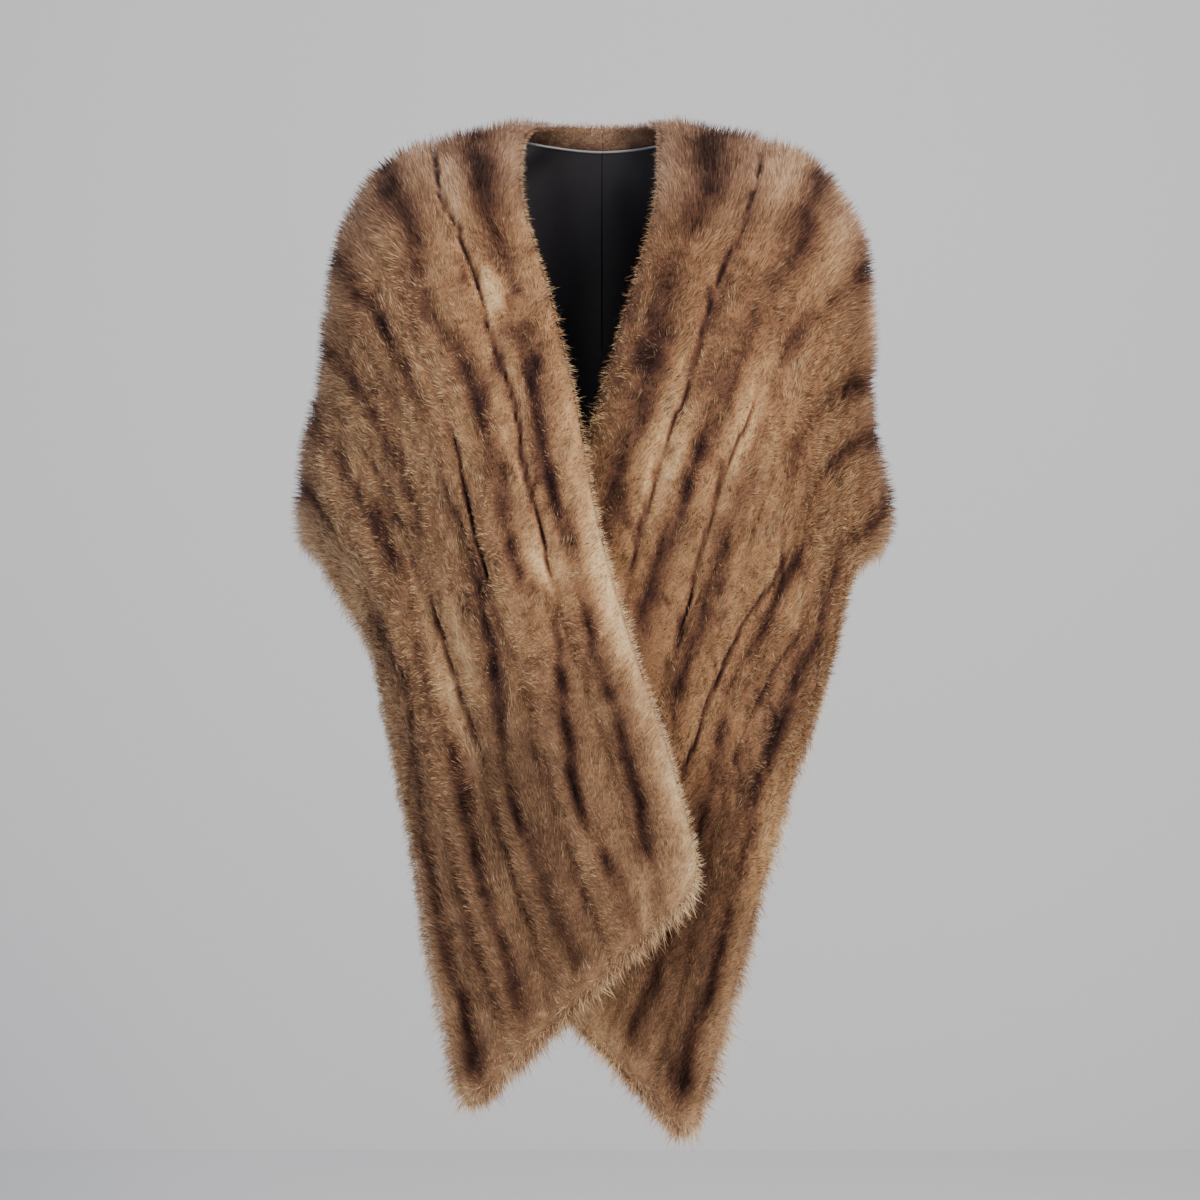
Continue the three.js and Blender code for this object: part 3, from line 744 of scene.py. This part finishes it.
def ring_columns(side, stations):
    """Across positions of a pelt's ring: over the fur from the neck to the hem, and back inside."""
    bounds = row_bounds(side, stations)
    width = look_up(grid_width, stations, stations * 0)
    shares = [(row, share) for row in range(len(ROWS)) for share in PELT_SHARES]
    columns = [bounds[:, row] * (1 - share) + bounds[:, row + 1] * share for row, share in shares]
    columns.append(bounds[:, -1])
    inner = [(1 - TURNED["hem"] * s / width) for s in (0.2, 0.5, 0.8, 1)]
    start, end = TURNED["neck"] / width, 1 - TURNED["hem"] / width
    inner += [end + (start - end) * k / INNER_COLUMNS for k in range(1, INNER_COLUMNS)]
    inner += [TURNED["neck"] * s / width for s in (1, 0.8, 0.5, 0.2)]
    return np.stack(columns + inner, axis=1), len(columns)


def side_stations(side, step):
    """Stations from the nape to a side's front end, about a step in millimetres apart."""
    count = round(LAST * STATION_LENGTH / step)
    start = 0.02 / STATION_LENGTH
    return SIDES[side] * np.linspace(start, LAST, count + 1)


def coolness(stations):
    """How cool the colour of the fur is, along the stole. On the shoulders this coolness is painted sheen.
    """
    at = np.abs(stations)
    return 0.12 + 0.55 * ease((6 - at) / 1.6) + 0.18 * ease(at - 8.5)


def new_grid(rows, columns):
    """A flat sheet of quads, with this many rows and columns of vertices."""
    bm = bmesh.new()
    bmesh.ops.create_grid(bm, x_segments=rows - 1, y_segments=columns - 1, size=1)
    return bm


def grid_places(bm, rows, columns):
    """Each vertex of a sheet that is still flat, with its row and its column."""
    for vert in bm.verts:
        yield vert, round((vert.co.x + 1) / 2 * (rows - 1)), round((vert.co.y + 1) / 2 * (columns - 1))


def close_tube(bm):
    """Joins a sheet whose first and last columns meet, closes its ends and turns its faces outwards."""
    bmesh.ops.remove_doubles(bm, verts=bm.verts, dist=0.02 * MM)
    bmesh.ops.holes_fill(bm, edges=[e for e in bm.edges if e.is_boundary], sides=0)
    bmesh.ops.recalc_face_normals(bm, faces=bm.faces)
    for face in bm.faces:
        face.smooth = True


def make_pelt(side):
    """One side's pelt, as a tube over the fur from the neck to the hem and back inside."""
    stations = side_stations(side, PELT_STEP)
    columns, top_count = ring_columns(side, stations)
    at = stations[:, None] + 0 * columns
    on_top = np.arange(columns.shape[1]) < top_count
    height = np.where(on_top, underfur_height(side, at, columns), inner_height(at, columns))
    ring = skin_point(at, columns, height)
    _, _, seams, opened = rows_at(side, at, columns)
    tone = fur_tone(side, at, columns, look_up(grid_width, at, columns))
    # Painted shade: the underfur darker down in an open seam.
    tone += 0.7 * opened * bell(seams / SEAM["half_width"])
    around = columns.shape[1]
    bm = new_grid(len(stations), around + 1)
    tone_layer = bm.verts.layers.float.new("tone")
    cool_layer = bm.verts.layers.float.new("cool")
    for vert, i, k in grid_places(bm, len(stations), around + 1):
        vert.co = ring[i, k % around] * MM
        vert[tone_layer] = tone[i, k % around]
        vert[cool_layer] = coolness(stations[i])
    close_tube(bm)
    return mesh_object(f"pelt_{side}", bm, underfur_material)


# The pile: hairs over the pelts, one piece for each row of each side

HAIRS = 362000
# Hairs root within the underfur, at root_share of the fur's reach. Guard hairs are thinner and longer, and
# standing hairs stick out of the pile.
HAIR = {"half_width": 0.19, "root_share": 0.45, "least_length": 5, "longer": 5, "most_length": 18}
GUARD_SHARE, STANDING_SHARE = 0.25, 0.2
HIGHEST = 19.5  # of the tips, off the skin
# The shares of a hair's length before and after its bend, and how far these parts turn outwards and inwards.
BEND = {"before": 0.55, "after": 0.5, "outwards": 0.35, "inwards": 0.2}
COMB = {"to_nape": 0.8, "parting": 0.5, "swirl": 0.22, "worn_swirl": 0.5, "curl": 1.0, "edge": 14}
CLUMP = {"size": 3.4, "pull": 0.65, "tone": 0.07}
# Places where the hair stands away from one point, as wide as reach in millimetres.
WHORLS = table(
    "station across reach strength",
    (-6.2, 0.12, 20, 0.9),
    (-8.25, 0.12, 20, 1.1),
    (-6.9, 0.84, 24, 1),
    (-7.2, 0.42, 20, 0.9),
    (-9.1, 0.6, 24, 1.2),
    (5.6, 0.11, 18, 0.8),
    (7.6, 0.12, 18, 0.9),
    (6.4, 0.45, 24, 1.2),
    (8.3, 0.66, 24, 0.9),
)


def clump_centres(x, y, size, seed):
    """Millimetres from each place to the nearest of scattered clump centres, and the clump's own number."""
    jitter = np.random.default_rng(seed).random((LATTICE, LATTICE, 3))
    i, j = np.floor(x / size).astype(int), np.floor(y / size).astype(int)
    best = np.full(x.shape, 1e9)
    offset = np.zeros((*x.shape, 3))
    for di in (-1, 0, 1):
        for dj in (-1, 0, 1):
            centre = jitter[(i + di) % LATTICE, (j + dj) % LATTICE]
            dx = (i + di + centre[..., 0]) * size - x
            dy = (j + dj + centre[..., 1]) * size - y
            distance = dx * dx + dy * dy
            nearer = distance < best
            best = np.where(nearer, distance, best)
            offset = np.where(nearer[..., None], np.stack([dx, dy, centre[..., 2]], axis=-1), offset)
    return offset


def density(side, stations, across):
    """More hairs on the plush fronts and along the edges, and fewer where the other front hides them."""
    at = np.abs(stations)
    to_edge = np.minimum(across, 1 - across) * look_up(grid_width, stations, across)
    to_edge = np.minimum(to_edge, (LAST - at) * look_up(grid_stretch, stations, across))
    hairs = 0.85 + 0.3 * ease(at - 5) + 0.6 * ease((12 - to_edge) / 6)
    if side == "left":
        hairs = hairs * (1 - 0.7 * ease((at - 7.5) / 0.8) * ease((0.45 - across) / 0.1))
    return hairs


WIDEST = {"station": 150, "section": 500}  # above what a station and a section measure anywhere


def scatter_roots(side, count, rng):
    """Roots spread over the cloth by its area and the density."""
    stations, across = np.zeros(0), np.zeros(0)
    while len(stations) < count:
        u = SIDES[side] * rng.uniform(0.002, LAST, count)
        v = rng.uniform(0, 1, count)
        area = look_up(grid_stretch, u, v) * look_up(grid_width, u, v)
        keep = rng.uniform(0, WIDEST["station"] * WIDEST["section"], count) < area * density(side, u, v)
        stations, across = np.append(stations, u[keep]), np.append(across, v[keep])
    return stations[:count], across[:count]


def hair_mesh(name, roots, middles, tips, broad, tone, cool):
    """Joins hairs into one mesh. Each is a narrow blade of two triangles, broadest at its bend."""
    count = len(roots)
    points = np.stack([roots, middles - broad, middles + broad, tips], axis=1).reshape(-1, 3) * MM
    corners = (4 * np.arange(count)[:, None] + [0, 1, 2, 1, 3, 2]).ravel()
    mesh = bpy.data.meshes.new(name)
    mesh.vertices.add(4 * count)
    mesh.vertices.foreach_set("co", points.astype(np.float32).ravel())
    mesh.loops.add(6 * count)
    mesh.loops.foreach_set("vertex_index", corners.astype(np.int32))
    mesh.polygons.add(2 * count)
    mesh.polygons.foreach_set("loop_start", np.arange(0, 6 * count, 3, dtype=np.int32))
    tone_map = mesh.uv_layers.new(name="tone")
    per_vertex = np.stack([tone.reshape(-1), np.repeat(cool, 4)], axis=1)
    tone_map.data.foreach_set("uv", per_vertex[corners].astype(np.float32).ravel())
    mesh.materials.append(pile_material)
    mesh.update(calc_edges=True)
    return add_object(name, mesh)


def grow_hairs(side, stations, across, rng):
    """Works out the hairs that grow from these roots."""
    count = len(stations)
    at, on_front = np.abs(stations), worn(stations)
    width = look_up(grid_width, stations, across)
    over = across * width
    row, share, seams, opened = rows_at(side, stations, across)
    tone = fur_tone(side, stations, across, width)
    reach = pile_reach(side, stations, across, row, share)
    along, down, normal = directions(side, stations, across)

    # Combed towards the nape, parted at the middle of each row, and swirled by wear.
    to_front = -COMB["to_nape"] + 0.3 * spots(stations, over, 70, 60, 21)
    swirl = COMB["swirl"] + COMB["worn_swirl"] * on_front
    to_hem = COMB["parting"] * (2 * share - 1) + swirl * spots(stations, over, 40, 30, 22)
    curl = COMB["curl"] * on_front
    to_front += curl * spots(stations, over, 9, 7, 25)
    to_hem += curl * spots(stations, over, 9, 7, 26)
    to_hem += 1.1 * opened * bell(seams / 6) * np.sign(seams)
    guard = rng.random(count) < GUARD_SHARE
    standing = rng.random(count) < STANDING_SHARE * (1 - 0.5 * on_front) * ease(over / 20)
    lift = 0.8 + 0.75 * on_front + 0.2 * spots(stations, over, 30, 25, 23) + np.where(guard, 0.3, 0)
    lift += np.where(standing, 1.1, 0)
    for whorl in WHORLS:
        if whorl["station"] * SIDES[side] > 0:
            away = (at - abs(whorl["station"])) * STATION_LENGTH
            past = (across - whorl["across"]) * width
            distance = np.maximum(np.hypot(away, past), 1)
            strength = whorl["strength"] * bell(distance / whorl["reach"])
            to_front += strength * away / distance
            to_hem += strength * past / distance

    # Turned outwards along the edges.
    to_neck_edge = ease(1 - over / COMB["edge"])
    to_hem_edge = ease(1 - (width - over) / COMB["edge"])
    to_end = ease(1 - (LAST - at) * look_up(grid_stretch, stations, across) / COMB["edge"])
    fringe = np.maximum(to_hem_edge, to_end)
    edge = np.maximum(to_neck_edge, fringe)
    to_front = to_front * (1 - 0.8 * edge) + 1.1 * to_end
    to_hem = to_hem * (1 - 0.8 * edge) + 1.1 * to_hem_edge - 0.8 * to_neck_edge
    lift = lift * (1 - edge) + 0.6 * edge - 0.2 * fringe

    direction = along * to_front[:, None] + down * to_hem[:, None] + normal * lift[:, None]
    direction += rng.normal(0, 1, (count, 3)) * (0.14 + 0.06 * on_front + 0.15 * edge)[:, None]
    direction = unit(direction)
    rise = np.maximum((direction * normal).sum(axis=1), 0.25)
    length = reach * (1 - HAIR["root_share"]) / rise
    least = HAIR["least_length"] + HAIR["longer"] * (1 - on_front)
    length = np.clip(length, least, HAIR["most_length"]) * rng.uniform(0.8, 1.12, count)
    length *= np.where(guard, 1.35 - 0.2 * edge, 1) * (1 + 0.1 * spots(stations, over, 12, 9, 24))
    length *= np.where(standing, 1.5 - 0.3 * edge, 1) * (1 - 0.5 * to_neck_edge - 0.2 * to_hem_edge)
    length *= 1 - 0.4 * opened * bell(seams / 5)
    root_off = HAIR["root_share"] * reach * edge_taper(stations, np.minimum(over, width - over))
    below, above = unit(direction + BEND["outwards"] * normal), unit(direction - BEND["inwards"] * normal)
    height = ((BEND["before"] * below + BEND["after"] * above) * normal).sum(axis=1)
    length = np.minimum(length, (HIGHEST - root_off) / np.maximum(height, 0.1))

    # Drawn together into clumps, most of all where the fur is worn.
    clump = clump_centres(at * STATION_LENGTH + 2000, over, CLUMP["size"], 31)
    drawn = (along * clump[:, :1] + down * clump[:, 1:2]) * (CLUMP["pull"] * (0.5 + 0.5 * on_front))[:, None]
    roots = skin_point(stations, across, root_off)
    middles = roots + below * (BEND["before"] * length)[:, None] + 0.5 * drawn
    tips = middles + above * (BEND["after"] * length)[:, None] + 0.5 * drawn
    sideways = unit(np.cross(direction, normal + rng.normal(0, 0.6, (count, 3))))
    half_width = HAIR["half_width"] * np.where(guard, 0.75, 1.1) * rng.uniform(0.8, 1.2, count)
    half_width *= (1 - 0.3 * to_neck_edge) * np.where(standing, 1.3, 1)
    half_width *= (1 - 0.15 * on_front) * (1 + 0.2 * to_end)
    broad = sideways * half_width[:, None]

    # Darker at the root, as painted shade deep in the pile, and most of all uneven in tone where the fur is
    # worn.
    tone = tone + rng.normal(0, 1, count) * (0.09 + 0.16 * on_front) + np.where(guard, 0.07, 0)
    tone += CLUMP["tone"] * (0.3 + 1.8 * on_front) * (2 * clump[:, 2] - 1) + np.where(standing, 0.1, 0)
    # Painted shade: hair darker beside an open seam, where the fur parts.
    tone += 0.4 * opened * bell(seams / 1.7)
    tip = np.where(standing, 0.04, -0.1) - 0.12 * on_front
    # The first point, at the root, is darker: painted shade down between the hairs.
    tones = np.stack([tone + 0.25 + 0.15 * on_front, tone, tone, tone + tip], axis=1)
    cool = np.clip(coolness(stations) + rng.normal(0, 0.08, count), 0, 1)
    seams = np.where(rng.random(count) < opened, seams / 1.9, seams)
    return roots, middles, tips, broad, np.clip(tones, 0.01, 0.99), cool, row, seams


TURNED_HAIRS = 52000
TURNED_SHARES = {"neck": 0.36, "hem": 0.36, "end": 0.28}
TURNED_LENGTHS = {"neck": 6, "hem": 9.5, "end": 12}


def grow_turned(side, count, rng):
    """Works out the short hairs of the fur that is turned to the inside, along the edges."""
    sign = SIDES[side]
    edge = rng.choice(3, count, p=list(TURNED_SHARES.values()))
    neck, hem, end = edge == 0, edge == 1, edge == 2
    depth = rng.random(count) ** 1.5
    stations = sign * np.where(end, LAST, rng.uniform(0.002, LAST, count))
    width = look_up(grid_width, stations, 0 * stations)
    band = np.where(neck, TURNED["neck"], TURNED["hem"]) * depth
    across = np.where(neck, band / width, np.where(hem, 1 - band / width, rng.random(count)))
    stretch = look_up(grid_stretch, stations, across)
    stations = stations - np.where(end, sign * TURNED["end"] * depth / stretch, 0)
    along, down, normal = directions(side, stations, across)
    outward = np.where(end[:, None], along, down * np.where(neck, -1, 1)[:, None])
    roots = skin_point(stations, across, inner_height(stations, across) * 0.6)
    direction = outward * (1 - 0.5 * depth)[:, None] - normal * (0.2 + 0.45 * depth)[:, None]
    direction = unit(direction + rng.normal(0, 0.28, (count, 3)))
    longest = np.select([neck, hem, end], list(TURNED_LENGTHS.values()))
    length = (rng.uniform(0.7, 1.15, count) * longest * (1 - 0.4 * depth))[:, None]
    middles = roots + unit(direction - 0.3 * normal) * 0.55 * length
    tips = middles + direction * 0.5 * length
    broad = unit(np.cross(direction, normal + rng.normal(0, 0.6, (count, 3)))) * HAIR["half_width"]
    tone = fur_tone(side, stations, across, width) + rng.normal(0, 0.1, count)
    # Darker at the root, as painted shade deep in the turned fur, and paler at the tip.
    tones = np.stack([tone + 0.3, tone, tone, tone - 0.1], axis=1)
    return roots, middles, tips, broad, np.clip(tones, 0.01, 0.99), coolness(stations)


pelts, piles = {}, {}
for side in SIDES:
    pelts[side] = make_pelt(side)
    rng = np.random.default_rng(100 + SIDES[side])
    *hairs, row, seams = grow_hairs(side, *scatter_roots(side, HAIRS // 2, rng), rng)
    piles[side] = []
    for index, row_name in enumerate(ROWS):
        own = (row == index) & (np.abs(seams) > SEAM["clear"])
        piles[side].append(hair_mesh(f"pile_{row_name}_{side}", *(part[own] for part in hairs)))
    turned = grow_turned(side, TURNED_HAIRS // 2, rng)
    piles[side].append(hair_mesh(f"pile_turned_{side}", *turned))


# Lining and piping

LINING = {"thickness": 1.2, "off": -0.3, "neck_inset": 22, "inset": 15, "width": 400, "step": 12}
LINING_COLUMNS = 40
PIPING = {"radius": 1.1, "around": 10, "step": 3, "twist": 6}


def make_lining(side):
    """One side's lining, with slack ripples."""
    whole = LAST * STATION_LENGTH
    stations = side_stations(side, LINING["step"]) * ((whole - LINING["inset"]) / whole)
    # Narrow first and last rows and columns keep the shading flat up to the edges.
    stations[1], stations[-2] = stations[0] + SIDES[side] * 0.01, stations[-1] - SIDES[side] * 0.01
    width = look_up(grid_width, stations, stations * 0)[:, None]
    share = np.linspace(0, 1, LINING_COLUMNS + 1)[None, :]
    share[0, 1], share[0, -2] = 0.003, 0.997
    start, end = LINING["neck_inset"] / width, 1 - LINING["inset"] / width
    across = start + (end - start) * share
    at = stations[:, None] + 0 * across
    ease_in = 0.9 * spots(at, across * width, 55, 90, 41) + 0.3 * spots(at, across * width, 20, 40, 42) - 0.5
    points = skin_point(at, across, LINING["off"] + np.minimum(ease_in, 0))
    bm = new_grid(len(stations), LINING_COLUMNS + 1)
    uv = bm.loops.layers.uv.new("cloth")
    places = {}
    for vert, i, k in grid_places(bm, len(stations), LINING_COLUMNS + 1):
        places[vert] = (abs(stations[i]) * STATION_LENGTH * MM, share[0, k] * LINING["width"] * MM)
        vert.co = points[i, k] * MM
    for face in bm.faces:
        face.smooth = True
        for loop in face.loops:
            loop[uv].uv = places[loop.vert]
    obj = mesh_object(f"satin_lining_{side}", bm, satin_material)
    solid = obj.modifiers.new("thickness", "SOLIDIFY")
    solid.thickness = LINING["thickness"] * MM
    solid.offset = -SIDES[side]
    return obj


def make_piping(side):
    """One side's piping: a cord of two strands, twisted."""
    stations = side_stations(side, PIPING["step"])
    width = look_up(grid_width, stations, stations * 0)
    across = LINING["neck_inset"] / width
    centre = skin_point(stations, across, stations * 0 + LINING["off"] - LINING["thickness"] - 0.9)
    _, down, normal = directions(side, stations, across)
    around = PIPING["around"]
    bm = new_grid(len(stations), around + 1)
    for vert, i, k in grid_places(bm, len(stations), around + 1):
        k = k % around
        angle = 2 * math.pi * k / around
        twist = 2 * math.pi * abs(stations[i]) * STATION_LENGTH / PIPING["twist"]
        radius = PIPING["radius"] * (1 + 0.12 * math.cos(2 * angle - twist))
        offset = down[i] * math.cos(angle) + normal[i] * math.sin(angle)
        vert.co = (centre[i] + offset * radius) * MM
    close_tube(bm)
    return mesh_object(f"piping_cord_{side}", bm, piping_material)


# What each piece rides on; the parts of the model that the pieces replace are hidden

for side in SIDES:
    pelt, lining, cord = pelts[side], make_lining(side), make_piping(side)
    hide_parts(*[f"fur_{name}_{side}" for name in ROWS])
    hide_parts(f"lining_{side}")
    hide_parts(f"piping_{side}")
    for piece, slot in [(pelt, "mink_fur"), (lining, "black_satin"), (cord, "grey_piping")]:
        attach(piece, "root")
    for pile in piles[side]:
        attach(pile, "root")
